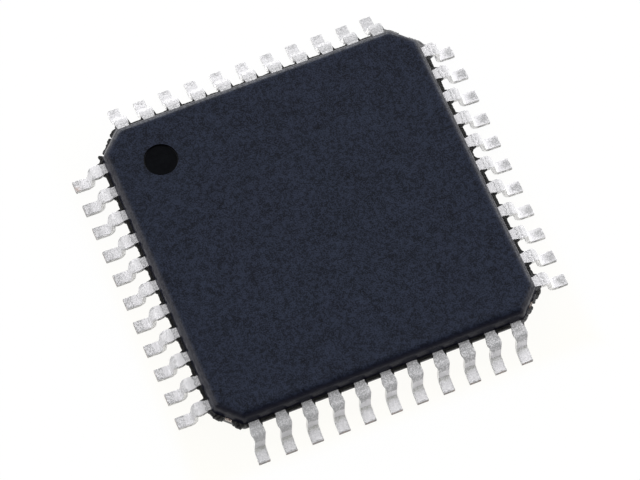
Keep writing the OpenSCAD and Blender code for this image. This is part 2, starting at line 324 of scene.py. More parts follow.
class Outline:
    """Eight-sided outline of the body with rounded turns, at any inset, in millimetres."""

    def __init__(self, body):
        self.half = body.half
        self.corner = corner_distance(body)
        self.round = body.corner_round

    def ends(self, inset):
        """Half lengths of a straight side and of a bevelled corner."""
        half = self.half - inset
        corner = self.corner - inset
        return corner * ROOT2 - half, half * ROOT2 - corner

    def spot(self, kind, number, place, inset):
        """Point on a side, on a corner, or on the turn before or after a corner."""
        side_end, corner_end = self.ends(inset)
        if kind == "side":
            return turn(side_angle(number)) @ Vector((self.half - inset, place * side_end))
        diagonal = turn(side_angle(number) + 45)
        if kind == "corner":
            return diagonal @ Vector((self.corner - inset, place * corner_end))
        sign = -1 if kind == "before" else 1
        meeting = diagonal @ Vector((self.corner - inset, sign * corner_end))
        on_corner = diagonal @ Vector((0, -sign * self.round))
        on_side = turn(side_angle(number) + (0 if kind == "before" else 90)) @ Vector((0, sign * self.round))
        start, end = (on_side, on_corner) if kind == "before" else (on_corner, on_side)
        return meeting + start * (1 - place) ** 2 + end * place ** 2

    def outward(self, kind, number):
        """Direction in which the outline faces there."""
        degrees = {"side": 0, "before": 22.5, "corner": 45, "after": 67.5}[kind]
        return turn(side_angle(number) + degrees) @ Vector((1, 0))


def hump(place, middle, half, steepness):
    """1 in the middle of a stretch and 0 outside it, with flanks of the given steepness."""
    return smooth(steepness * (1 - abs(place - middle) / half))


def wander(draw, place, number, waves, shift, start, chance):
    """Uneven value at a place along a broken edge, from about -1 to 1."""
    return noise.noise(Vector((place * waves, number * shift, start))) + chance * draw.uniform(-1, 1)


def side_reach(body, side, tongues, place, uneven):
    """How far the web reaches out at a place along a side: a level edge with tongues beside the leads."""
    edge = min(tongues, key=lambda e: abs(e - place))
    beside = hump(place, edge, body.tongue_width, TONGUE_STEEPNESS)
    bites = [depth * hump(place, at, half, TONGUE_STEEPNESS) for at, half, depth in WEB_BITES.get(side, ())]
    web = WEB_REACH[side] + body.web_wander * uneven - sum(bites)
    return max(web + (tongues[edge] - web) * beside, LEAST_WEB * body.web_round)


def corner_reach(body, remnants, place, uneven):
    """How far the remnants of resin reach out at a place along a bevelled corner."""
    lumps = [(reach + body.notch) * hump(place, at, half, REMNANT_STEEPNESS) for at, half, reach in remnants]
    return max(max(lumps) - body.notch + body.web_wander * uneven, -body.notch)


def ring_points(body, leads, outline):
    """Points round the body in order, each with how far the web or a remnant of resin reaches out there."""
    draw = random.Random(RING_SEED)
    side_end, corner_end = outline.ends(0)
    flank = leads.neck_width / 2
    rows = [(step - MIDDLE_STEP) * leads.pitch for step in range(LEADS_PER_SIDE)]
    last = side_end - outline.round
    corner_last = 1 - outline.round / corner_end
    points = []
    for number, (side, remnants) in enumerate(zip(SIDES, CORNER_REMNANTS.values())):
        tongues = {}
        for row in rows:
            for edge in (row - flank, row + flank):
                kept = ROW_TONGUES[side][edge > row]
                tongues[edge] = body.tongue * kept * draw.choice(TONGUE_CHANCES)
        places = [-last + (rows[0] - flank + last) * step for step in END_STEPS]
        for row in rows[:-1]:
            places += [row + flank + (leads.pitch - 2 * flank) * step for step in GAP_STEPS]
            places.append(row + leads.pitch - flank)
        places += [rows[-1] + flank + (last - rows[-1] - flank) * step for step in END_STEPS]
        for place in places:
            uneven = wander(draw, place, number, *SIDE_WANDER)
            points.append(("side", number, place / side_end, side_reach(body, side, tongues, place, uneven)))
        points += [("before", number, step, WEB_REACH[side]) for step in ROUND_STEPS]
        for step in range(CORNER_STEPS + 1):
            place = corner_last * (2 * step / CORNER_STEPS - 1)
            uneven = wander(draw, place, number, *CORNER_WANDER)
            reach = corner_reach(body, remnants, place * corner_end, uneven)
            points.append(("corner", number, place, reach))
        next_side = SIDES[(number + 1) % len(SIDES)]
        points += [("after", number, step, WEB_REACH[next_side]) for step in ROUND_STEPS]
    return points


def body_stations(body, leads):
    """Lines round the body from the underside up: inset, height and the share of the web's reach."""
    slope = math.tan(body.draft)
    inset = body.edge_radius * (1 - math.sin(body.draft)) / math.cos(body.draft)
    web_low = leads.top - leads.thickness + body.web_gap
    web_high = leads.top - body.web_gap
    radius = body.edge_radius

    def rounded(wall_inset, height, first, final):
        """Inset and height of the points round an edge, from a first to a final angle."""
        rounds = []
        for step in range(ARC_STEPS + 1):
            a = first + (final - first) * step / ARC_STEPS
            rounds.append((wall_inset + inset - radius * math.cos(a), height + radius * math.sin(a)))
        return rounds

    lower = rounded((web_low - body.bottom) * slope, body.bottom + radius, -math.pi / 2, -body.draft)
    upper = rounded((body.top - web_high) * slope, body.top - radius, body.draft, math.pi / 2)
    lower = [(lower[0][0] + RIM_WIDTH, body.bottom)] + lower + [(0, web_low)]
    upper = [(0, web_high)] + upper + [(upper[-1][0] + RIM_WIDTH, body.top)]
    web = (
        (body.web_round, web_low),
        (0, web_low + body.web_round),
        (0, web_high - body.web_round),
        (body.web_round, web_high),
    )
    stations = [(d + body.low_setback, z, 0) for d, z in lower]
    stations += [(d, z, 1) for d, z in web]
    stations += [(d + body.setback, z, 0) for d, z in upper]
    return stations


def sink(bm, centre, radius, depth):
    """Round dish with a softly rounded lip, sunk along z by depth from a rim. Returns the rim's edges."""
    rim = bmesh.ops.create_circle(bm, cap_ends=False, segments=DISH_STEPS, radius=radius,
                                  matrix=Matrix.Translation(centre))["verts"]
    rim_edges = list(dict.fromkeys(edge for v in rim for edge in v.link_edges))
    edges = rim_edges
    lip = abs(depth) * LIP_PART
    faces = []
    for lips, down in DISH_RINGS:
        made = bmesh.ops.extrude_edge_only(bm, edges=edges)["geom"]
        verts = set(of_type(made, bmesh.types.BMVert))
        edges = [edge for edge in of_type(made, bmesh.types.BMEdge) if verts.issuperset(edge.verts)]
        faces += of_type(made, bmesh.types.BMFace)
        for v in verts:
            out = (v.co - centre).xy.normalized() * (radius - lip * lips)
            v.co = (centre.x + out.x, centre.y + out.y, centre.z + depth * down)
    faces += bmesh.ops.contextual_create(bm, geom=edges)["faces"]
    for face in faces:
        face.material_index = POLISHED
    return rim_edges


def model_body(body, leads):
    """The moulded body as one closed surface."""
    bm = bmesh.new()
    outline = Outline(body)
    points = ring_points(body, leads, outline)
    stations = body_stations(body, leads)
    wraps, rises = len(points), len(stations) - 1
    bmesh.ops.create_grid(bm, x_segments=wraps, y_segments=rises, size=0.5)
    for v in bm.verts:
        kind, number, place, reach = points[round((v.co.x + 0.5) * wraps) % wraps]
        inset, height, web = stations[round((v.co.y + 0.5) * rises)]
        spot = outline.spot(kind, number, place, inset)
        spot += outline.outward(kind, number) * web * reach
        v.co = (spot.x, spot.y, height)
    bmesh.ops.remove_doubles(bm, verts=bm.verts, dist=MERGE_DISTANCE)
    web_low = leads.top - leads.thickness
    for face in bm.faces:
        if all(web_low < v.co.z < leads.top for v in face.verts):
            face.material_index = RAW
    middle = (body.top + body.bottom) / 2
    top_edges = [e for e in bm.edges if e.is_boundary and e.verts[0].co.z > middle]
    low_edges = [e for e in bm.edges if e.is_boundary and e.verts[0].co.z < middle]
    mark = body.half - body.mark_inset
    top_edges += sink(bm, Vector((-mark, mark, body.top)), body.mark_diameter / 2, -body.mark_depth)
    ejector = body.half - body.ejector_inset
    for x in (-ejector, ejector):
        for y in (-ejector, ejector):
            centre = Vector((x, y, body.bottom))
            low_edges += sink(bm, centre, body.ejector_diameter / 2, body.ejector_depth)
    for edges in (top_edges, low_edges):
        bmesh.ops.triangle_fill(bm, use_beauty=True, use_dissolve=False, edges=edges)
    return bm


# How far the toes of each row lean along it, and more for single leads, in millimetres
ROW_SWAY = {"left": -0.025, "front": -0.06, "right": -0.03, "back": 0.015}
LEAD_SWAY = {12: -0.025, 34: 0.04, 43: 0.01}
# How far the feet of each row are bent in towards the body, and more for single leads, in millimetres
ROW_TUCK = {"left": 0.055, "front": 0.0, "right": 0.0, "back": 0.045}
LEAD_TUCK = {33: 0.09, 43: 0.035}
# How much more or less a lead may lean by chance, in millimetres
LEAN_CHANCE = 0.008
# Parts of the neck's flare, counted inwards, of the slope and of the foot at which a lead has points
FLARE_STEPS = (1.0, 0.85, 0.7, 0.55, 0.4, 0.25, 0.1, 0.0)
SLOPE_STEPS = (0.33, 0.67)
FOOT_STEPS = (0.25, 0.5, 0.75, 0.92, 1.0)
# Distance inside the body's side at which a lead has its last points before the neck, in millimetres
NECK_INSIDE = 0.1
# Length by which the plan of a lead goes past its ends, in millimetres
PLAN_PAST = 1
# Bend from which an edge of the strip is square and gets rounded
SQUARE_ANGLE = math.radians(60)
# Least part of a face's normal that points along or across the strip on its cut end or its flanks
FACING = 0.8


class LeadForm:
    """Side view of a formed lead, by distance along the strip from the body's side, in millimetres."""

    def __init__(self, body, leads):
        self.half = body.half
        self.angle = leads.form_angle
        self.knee_radius = leads.knee_radius + leads.thickness / 2
        self.heel_radius = leads.heel_radius + leads.thickness / 2
        self.low = leads.thickness / 2
        self.high = leads.top - leads.thickness / 2
        radii = self.knee_radius + self.heel_radius
        slope = (self.high - self.low - radii * (1 - math.cos(self.angle))) / math.sin(self.angle)
        self.heel = leads.toe - leads.foot_length
        self.knee = self.heel - radii * math.sin(self.angle) - slope * math.cos(self.angle)
        self.stub_end = self.knee + self.knee_radius / 2
        self.stub_start = self.stub_end - leads.stub_length
        self.start = leads.tip - body.half
        self.bend_start = self.knee - body.half
        self.slope_start = self.bend_start + self.knee_radius * self.angle
        self.slope_end = self.slope_start + slope
        self.bend_end = self.slope_end + self.heel_radius * self.angle
        self.toe = self.bend_end + leads.foot_length

    def at(self, along):
        """Distance out, height and downward tilt of the strip's middle."""
        if along <= self.bend_start:
            return self.half + along, self.high, 0.0
        if along <= self.slope_start:
            tilt = (along - self.bend_start) / self.knee_radius
            out = self.knee + self.knee_radius * math.sin(tilt)
            return out, self.high - self.knee_radius * (1 - math.cos(tilt)), tilt
        if along <= self.slope_end:
            out, height, tilt = self.at(self.slope_start)
            run = along - self.slope_start
            return out + run * math.cos(tilt), height - run * math.sin(tilt), tilt
        if along <= self.bend_end:
            tilt = (self.bend_end - along) / self.heel_radius
            out = self.heel - self.heel_radius * math.sin(tilt)
            return out, self.low + self.heel_radius * (1 - math.cos(tilt)), tilt
        return self.heel + along - self.bend_end, self.low, 0.0

    def places(self, leads):
        """Distances along the strip at which its outline or its bend changes."""
        fixed = [self.start, self.start + leads.tip_length, -leads.lock_length, -NECK_INSIDE]
        widest = self.stub_start - self.half
        fixed += [widest - leads.neck_flare * step for step in FLARE_STEPS]
        fixed += [self.slope_start + (self.slope_end - self.slope_start) * step for step in SLOPE_STEPS]
        fixed += [self.bend_end + leads.foot_length * step for step in FOOT_STEPS]
        steps = leads.bend_steps
        for first, last in ((self.bend_start, self.slope_start), (self.slope_end, self.bend_end)):
            fixed += [first + (last - first) * step / steps for step in range(steps + 1)]
        return sorted(fixed)


def plan_at(stations, out):
    """Width and centre line of a lead at a distance out, between its stations."""
    for (x0, w0, c0), (x1, w1, c1) in zip(stations, stations[1:]):
        if out <= x1:
            t = (out - x0) / (x1 - x0)
            return w0 + (w1 - w0) * t, c0 + (c1 - c0) * t
    return stations[-1][1:]


def model_lead(body, leads, form, number):
    """One lead: a strip stamped flat, its edges rounded, then bent to form and turned to its side."""
    side, step = divmod(number - 1, LEADS_PER_SIDE)
    row = (step - MIDDLE_STEP) * leads.pitch
    end = (step - MIDDLE_STEP) * leads.tip_pitch
    stations = (
        (leads.tip - PLAN_PAST, leads.tip_width, end),
        (leads.tip + leads.tip_length, leads.tip_width, end),
        (body.half - leads.lock_length, leads.neck_width, row),
        (form.stub_start - leads.neck_flare, leads.neck_width, row),
        (form.stub_start, leads.stub_width, row),
        (form.stub_end, leads.stub_width, row),
        (form.stub_end + leads.flare_length, leads.waist_width, row),
        (form.heel, leads.foot_width, row),
        (leads.toe + PLAN_PAST, leads.foot_width, row),
    )
    bm = bmesh.new()
    places = form.places(leads)
    pieces = len(places) - 1
    bmesh.ops.create_grid(bm, x_segments=pieces, y_segments=1, size=0.5)
    for v in bm.verts:
        along = places[round((v.co.x + 0.5) * pieces)]
        width, centre = plan_at(stations, form.at(along)[0])
        v.co = (along, centre + math.copysign(width / 2, v.co.y), -leads.thickness / 2)
    made = bmesh.ops.extrude_face_region(bm, geom=bm.faces[:])["geom"]
    bmesh.ops.translate(bm, vec=(0, 0, leads.thickness), verts=of_type(made, bmesh.types.BMVert))
    bmesh.ops.recalc_face_normals(bm, faces=bm.faces)
    square = [edge for edge in bm.edges if edge.is_manifold and edge.calc_face_angle() > SQUARE_ANGLE]
    bmesh.ops.bevel(bm, geom=square, offset=leads.edge_round, affect="EDGES", segments=2, profile=0.5,
                    material=-1)
    strip = bm.loops.layers.uv.new("strip")
    for face in bm.faces:
        if face.normal.x > FACING and face.calc_center_median().x > form.bend_end:
            face.material_index = CUT
        elif abs(face.normal.y) > FACING:
            face.material_index = FLANK
        for loop in face.loops:
            loop[strip].uv = (loop.vert.co.x, loop.vert.co.y - row)
    draw = random.Random(number)
    sway = ROW_SWAY[SIDES[side]] + LEAD_SWAY.get(number, 0.0) + draw.uniform(-LEAN_CHANCE, LEAN_CHANCE)
    held = ROW_TUCK[SIDES[side]] + LEAD_TUCK.get(number, 0.0)
    for v in bm.verts:
        along, across, through = v.co
        out, height, tilt = form.at(along)
        lean = sway * smooth((along - form.bend_start) / (form.toe - form.bend_start))
        tuck = held * smooth((along - form.bend_start) / (form.bend_end - form.bend_start))
        v.co = (out - tuck + through * math.sin(tilt), across + lean, height + through * math.cos(tilt))
    facing = Matrix.Rotation(math.radians(side_angle(side)), 3, "Z")
    bmesh.ops.rotate(bm, cent=(0, 0, 0), matrix=facing, verts=bm.verts)
    return bm


# Places of a Mix node's sockets for colours
MIX_FIRST, MIX_SECOND, MIX_RESULT = 6, 7, 2
# Grain of each finish: grains per metre and contrast
GRAINS = {
    "resin speckle": (9500.0, 2.4),
    "resin cloud": (1600.0, 1.2),
    "polished cloud": (3000.0, 1.0),
    "raw speckle": (14000.0, 1.8),
    "raw chips": (5000.0, 2.4),
    "tin speckle": (18000.0, 3.0),
    "tin cloud": (3500.0, 1.6),
    "flank blotch": (9000.0, 2.0),
    "toe smear": (9000.0, 2.2),
    "bar smear": (12000.0, 2.6),
    "silver flakes": (40000.0, 2.5),
}
# How many times as fine the second noise in a grain is
FINER = 2.6
# Streaks of each finish, along and across: per millimetre on the tin, per metre on the rest
STREAKS = {
    "brushed tin": (4.0, 70.0),
    "drawn gold": (2000.0, 60000.0),
    "rolled copper": (700.0, 20000.0),
    "circuit lines": (2000.0, 60000.0),
}
# Roughness where a finish's texture is low and where it is high, and the depth of its relief in metres
FINISHES = {
    "polished_resin": (0.16, 0.24, 0.0),
    "raw_resin": (0.45, 0.7, 0.02 * MM),
    "matte_tin": (0.45, 0.62, 0.004 * MM),
    "stamped_flank": (0.5, 0.65, 0.006 * MM),
    "sheared_copper": (0.35, 0.6, 0.006 * MM),
    "gold_wire": (0.2, 0.3, 0.0),
    "rolled_copper": (0.28, 0.42, 0.002 * MM),
    "silver_adhesive": (0.35, 0.65, 0.0),
    "silicon_die": (0.12, 0.3, 0.0),
}


def add(tree, kind, inputs=None, **settings):
    """A new node. An input is given by name, as a value or as another node's output socket."""
    made = tree.nodes.new(kind)
    for key, value in settings.items():
        setattr(made, key, value)
    for key, value in (inputs or {}).items():
        if isinstance(value, bpy.types.NodeSocket):
            tree.links.new(value, made.inputs[key])
        else:
            made.inputs[key].default_value = value
    return made


def new_group(name, inputs, outputs):
    """An empty shader node group with named sockets, with its input sockets and its output node."""
    group = bpy.data.node_groups.new(name, "ShaderNodeTree")
    for label, kind, default in inputs:
        socket = group.interface.new_socket(name=label, in_out="INPUT", socket_type=kind)
        if default is not None:
            socket.default_value = default
    for label, kind in outputs:
        group.interface.new_socket(name=label, in_out="OUTPUT", socket_type=kind)
    return group, add(group, "NodeGroupInput").outputs, add(group, "NodeGroupOutput")


def math_node(tree, operation, first, second=0.0, clamp=False):
    """Result of an operation on one or two values."""
    made = add(tree, "ShaderNodeMath", {0: first, 1: second}, operation=operation, use_clamp=clamp)
    return made.outputs[0]


def times(tree, first, second):
    """Product of two values."""
    return math_node(tree, "MULTIPLY", first, second)


def plus(tree, first, second):
    """Sum of two values."""
    return math_node(tree, "ADD", first, second)


def vector_node(tree, operation, first, second=(0.0, 0.0, 0.0)):
    """Result of an operation on one or two vectors: a number where it measures, a vector otherwise."""
    made = add(tree, "ShaderNodeVectorMath", {0: first, 1: second}, operation=operation)
    measures = operation in ("DOT_PRODUCT", "DISTANCE", "LENGTH")
    return made.outputs["Value" if measures else "Vector"]


def axes(tree, vector):
    """The parts X, Y and Z of a vector."""
    return add(tree, "ShaderNodeSeparateXYZ", {0: vector}).outputs


def grain_group():
    """Fine grain: two sizes of noise laid over each other, from 0 to 1."""
    group, given, out = new_group("surface_grain", (
        ("Vector", "NodeSocketVector", None),
        ("Grains per metre", "NodeSocketFloat", 10000.0),
        ("Contrast", "NodeSocketFloat", 1.5),
    ), (("Value", "NodeSocketFloat"),))
    coarse = add(group, "ShaderNodeTexNoise", {
        "Vector": given["Vector"], "Scale": given["Grains per metre"], "Detail": 1.0, "Roughness": 0.6})
    finer = times(group, given["Grains per metre"], FINER)
    fine = add(group, "ShaderNodeTexNoise", {"Vector": given["Vector"], "Scale": finer, "Detail": 0.0})
    both = plus(group, coarse.outputs["Fac"], fine.outputs["Fac"])
    spread = times(group, math_node(group, "SUBTRACT", both, 1.0), given["Contrast"])
    group.links.new(math_node(group, "ADD", spread, 0.5, clamp=True), out.inputs["Value"])
    return group


def stretch_group():
    """Stretch of a length or height: rises from start to full, falls from fade to end, and is 0 outside."""
    group, given, out = new_group("stretch", (
        ("Value", "NodeSocketFloat", 0.0),
        ("Start", "NodeSocketFloat", 0.0),
        ("Full", "NodeSocketFloat", 0.1),
        ("Fade", "NodeSocketFloat", 0.2),
        ("End", "NodeSocketFloat", 0.3),
        ("Strength", "NodeSocketFloat", 1.0),
    ), (("Mask", "NodeSocketFloat"),))
    rise = blend(group, given["Value"], given["Start"], given["Full"], 0.0, given["Strength"])
    fall = blend(group, given["Value"], given["Fade"], given["End"], 1.0, 0.0)
    group.links.new(times(group, rise, fall), out.inputs["Mask"])
    return group


def streak_group():
    """Fine parallel streaks left by rolling or forming, from 0 to 1."""
    group, given, out = new_group("streaks", (
        ("Vector", "NodeSocketVector", None),
        ("Along", "NodeSocketFloat", 1.0),
        ("Across", "NodeSocketFloat", 20.0),
    ), (("Value", "NodeSocketFloat"),))
    scale = add(group, "ShaderNodeCombineXYZ", {
        "X": given["Along"], "Y": given["Across"], "Z": given["Along"]})
    stretched = vector_node(group, "MULTIPLY", given["Vector"], scale.outputs[0])
    lines = add(group, "ShaderNodeTexNoise", {"Vector": stretched, "Scale": 1.0, "Detail": 2.0})
    group.links.new(lines.outputs["Fac"], out.inputs["Value"])
    return group


def shared(tree, name, build, values):
    """The only output of a shared group, which is built when it is first needed."""
    group = bpy.data.node_groups.get(name) or build()
    return add(tree, "ShaderNodeGroup", values, node_tree=group).outputs[0]


def grain(tree, vector, kind):
    """Grain of one kind, from 0 to 1."""
    per_metre, contrast = GRAINS[kind]
    values = {"Vector": vector, "Grains per metre": per_metre, "Contrast": contrast}
    return shared(tree, "surface_grain", grain_group, values)


def stretch(tree, value, start, full, fade, end, strength=1.0):
    """Mask over a stretch of a value."""
    values = {"Value": value, "Start": start, "Full": full, "Fade": fade, "End": end, "Strength": strength}
    return shared(tree, "stretch", stretch_group, values)


def streaks(tree, vector, kind):
    """Streaks of one kind, from 0 to 1."""
    along, across = STREAKS[kind]
    return shared(tree, "streaks", streak_group, {"Vector": vector, "Along": along, "Across": across})


def new_material(name, **constants):
    """A material, its tree and its Principled shader, whose constant sockets are set."""
    material = bpy.data.materials.new(name)
    material.use_nodes = True
    tree = material.node_tree
    shader = tree.nodes["Principled BSDF"]
    for key, value in constants.items():
        shader.inputs[key.replace("_", " ")].default_value = value
    return material, tree, shader


def object_place(tree):
    """Place on a piece, in metres."""
    return add(tree, "ShaderNodeTexCoord").outputs["Object"]


def strip_place(tree):
    """Place on a lead's strip before it was bent, in millimetres: along it and across it."""
    return add(tree, "ShaderNodeUVMap", uv_map="strip").outputs["UV"]


def scaled(values, by):
    """Values times a factor, such as the channels of a darker shade."""
    return [value * by for value in values]


def mix_colours(tree, factor, first, second):
    """Mixture of two colours, each given as a value or as an output socket."""
    ends = [tint if isinstance(tint, bpy.types.NodeSocket) else (*tint, 1.0) for tint in (first, second)]
    made = add(tree, "ShaderNodeMix", {"Factor": factor, MIX_FIRST: ends[0], MIX_SECOND: ends[1]},
               data_type="RGBA")
    return made.outputs[MIX_RESULT]


def shades(tree, factor, tint, low, high=1.0):
    """Mixture of two shades of one colour."""
    return mix_colours(tree, factor, scaled(tint, low), scaled(tint, high))


def set_range(tree, value, low, high):
    """Maps 0 to 1 onto a range."""
    return add(tree, "ShaderNodeMapRange", {"Value": value, "To Min": low, "To Max": high}).outputs["Result"]


def blend(tree, value, low, high, at_low, at_high):
    """Soft change from one level to another while a value goes from low to high."""
    made = add(tree, "ShaderNodeMapRange", {
        "Value": value, "From Min": low, "From Max": high, "To Min": at_low, "To Max": at_high},
        interpolation_type="SMOOTHSTEP")
    return made.outputs["Result"]


def bump(tree, height, distance):
    """Normal of a surface with a relief of the given depth in metres."""
    return add(tree, "ShaderNodeBump", {"Height": height, "Distance": distance}).outputs["Normal"]


def feed(tree, shader, **values):
    """Links values that change over the surface to a shader's sockets."""
    for key, value in values.items():
        tree.links.new(value, shader.inputs[key.replace("_", " ")])


def finish(tree, shader, kind, texture, tone):
    """Links a colour to a shader, with the roughness and the relief that a texture gives."""
    low, high, depth = FINISHES[kind]
    feed(tree, shader, Base_Color=tone, Roughness=set_range(tree, texture, low, high))
    if depth > 0:
        feed(tree, shader, Normal=bump(tree, texture, depth))


# Shades of the top face's colour in its grain, and how much of that grain is speckle and not cloud
TOP_SHADES = (0.34, 1.66)
SPECKLE_SHARE = 0.75
TOP_RELIEF = 0.002 * MM
WALL_ROUGHNESS = 0.32
COAT_ROUGHNESS = 0.26
# Least and greatest part of the coat, by the grain
COAT_RANGE = (0.45, 1.6)
# Depths below the top face, in metres: from plain wall to grained top, from the wall's coat to the edge's,
# from that coat to none, and where the painted highlight coat of the back edge starts, is full, fades and
# ends
GRAINED = (0.07 * MM, 0.002 * MM)
COATED = (0.25 * MM, 0.1 * MM)
BARE = (0.1 * MM, 0.001 * MM)
BACK_COATED = (0.14 * MM, 0.07 * MM, 0.012 * MM, 0.0005 * MM)
# Distances in from a side over which its painted highlight gloss sets in, in metres
SIDE_GLOSS = (0.55 * MM, 0.3 * MM)


def resin_material(body):
    """Moulding compound: bluish black with a fine grain, glossier round its edges and down its walls, with
    painted highlights as extra gloss on the right and back edges and less on the front.
    """
    material, tree, shader = new_material(
        "moulded_resin", Specular_IOR_Level=body.gloss, Specular_Tint=(*body.gloss_colour, 1.0),
        Coat_Roughness=COAT_ROUGHNESS)

    def heights(depths):
        """Heights that lie so deep below the top face."""
        return [body.top - depth for depth in depths]

    place = object_place(tree)
    spot = axes(tree, place)
    upper = blend(tree, spot["Z"], *heights(GRAINED), 0.0, 1.0)
    speckle = grain(tree, place, "resin speckle")
    cloud = grain(tree, place, "resin cloud")
    tone = plus(tree, times(tree, speckle, SPECKLE_SHARE), times(tree, cloud, 1 - SPECKLE_SHARE))
    top = shades(tree, tone, body.top_colour, *TOP_SHADES)
    coat = blend(tree, spot["Z"], *heights(COATED), body.wall_coat, body.edge_coat)
    coat = times(tree, coat, blend(tree, spot["Z"], *heights(BARE), 1.0, 0.0))
    # Painted highlights: more gloss on the right edge and a band of it on the back edge, less on the front
    start, end = [body.half - inset for inset in SIDE_GLOSS]
    coat = times(tree, coat, blend(tree, spot["X"], start, end, 1.0, body.right_gain))
    coat = math_node(tree, "MINIMUM", coat, body.edge_coat)
    rounded = stretch(tree, spot["Z"], *heights(BACK_COATED), body.edge_coat)
    back = times(tree, rounded, blend(tree, spot["Y"], start, end, 0.0, 1.0))
    coat = math_node(tree, "MAXIMUM", coat, back)
    coat = times(tree, coat, blend(tree, spot["Y"], -end, -start, body.front_gain, 1.0))
    feed(tree, shader,
         Base_Color=mix_colours(tree, upper, body.wall_colour, top),
         Coat_Weight=times(tree, coat, set_range(tree, tone, *COAT_RANGE)),
         Roughness=set_range(tree, upper, WALL_ROUGHNESS, body.roughness),
         Normal=bump(tree, speckle, TOP_RELIEF))
    return material


POLISHED_GLOSS = 0.07
POLISHED_COLOURS = ((0.001, 0.0012, 0.002), (0.002, 0.0024, 0.0035))


def polished_resin_material():
    """Resin moulded against a polished pin, in the dimple and the ejector marks."""
    material, tree, shader = new_material("polished_resin", Specular_IOR_Level=POLISHED_GLOSS)
    cloud = grain(tree, object_place(tree), "polished cloud")
    finish(tree, shader, "polished_resin", cloud, mix_colours(tree, cloud, *POLISHED_COLOURS))
    return material


RAW_GLOSS = 0.25
RAW_SHADES = (0.6, 1.6)
# Parts of the way from the middle to a square corner between which a bevelled corner's own colour sets in:
# chipped resin at the front, painted light at the back right
CORNER_PARTS = (0.86, 0.92)
# How much of the two front corners is freshly broken
FRONT_RIGHT_CHIPS = 0.8
FRONT_LEFT_CHIPS = 0.5
# Painted highlight along a pale ledge at the back left: distances past the bevelled corner's face at which
# it starts, is full, fades and ends, places along the corner between which it sets in, in metres, and its
# least and greatest part
LEDGE_OUT = (-0.05 * MM, -0.03 * MM, -0.01 * MM, 0.005 * MM)
LEDGE_ALONG = (-0.42 * MM, -0.34 * MM)
LEDGE_RANGE = (0.5, 1.0)


def flash_material(body):
    """Raw resin between the leads and at the corners: dark, painted paler where light grazes it at the back
    right, chipped at the two front corners and with a painted highlight along a pale ledge at the back left."""
    material, tree, shader = new_material("raw_resin", Specular_IOR_Level=RAW_GLOSS)
    place = object_place(tree)
    speckle = grain(tree, place, "raw speckle")
    chips = grain(tree, place, "raw chips")
    to_back_right = vector_node(tree, "DOT_PRODUCT", place, (1 / ROOT2, 1 / ROOT2, 0.0))
    to_front_right = vector_node(tree, "DOT_PRODUCT", place, (1 / ROOT2, -1 / ROOT2, 0.0))
    to_front_left = times(tree, to_back_right, -1.0)
    to_back_left = times(tree, to_front_right, -1.0)
    limits = [body.half * ROOT2 * part for part in CORNER_PARTS]
    # Painted light where light grazes the back right corner
    painted_grazing_light = blend(tree, to_back_right, *limits, 0.0, 1.0)
    chipped = plus(tree, blend(tree, to_front_right, *limits, 0.0, FRONT_RIGHT_CHIPS),
                   blend(tree, to_front_left, *limits, 0.0, FRONT_LEFT_CHIPS))
    pale = plus(tree, painted_grazing_light, times(tree, chipped, chips))
    corner = corner_distance(body)
    # Painted highlight along the ledge at the back left
    ledge = stretch(tree, to_back_left, *[corner + past for past in LEDGE_OUT])
    ledge = times(tree, ledge, set_range(tree, chips, *LEDGE_RANGE))
    ledge = times(tree, ledge, blend(tree, to_back_right, *LEDGE_ALONG, 0.0, 1.0))
    dark = shades(tree, speckle, body.flash_colour, *RAW_SHADES)
    broken = mix_colours(tree, pale, dark, body.chipped_and_lit_colour)
    finish(tree, shader, "raw_resin", speckle, mix_colours(tree, ledge, broken, body.ledge_highlight_colour))
    return material


class Mark:
    """Wear along a lead, which for some marks is painted shade: where it starts, is full, fades and ends in
    millimetres along the strip, how strong it is, how far grain breaks it up, whether it lies over the whole
    width, down the middle or at the edges, and whether it takes the stain colour or the dull colour, both of
    which also serve as painted shade."""

    def __init__(self, start, full, fade, end, strength, broken=0.5, lies="whole", stain_and_shade=False):
        self.limits = (start, full, fade, end, strength)
        self.broken = broken
        self.lies = lies
        self.stain_and_shade = stain_and_shade


def line_mark(middle, strength, width=0.03):
    """Thin broken line across a lead, where the forming tool pressed."""
    limits = [middle + width * part for part in (-1 / 2, -1 / 6, 1 / 6, 1 / 2)]
    return Mark(*limits, strength, broken=0.8)
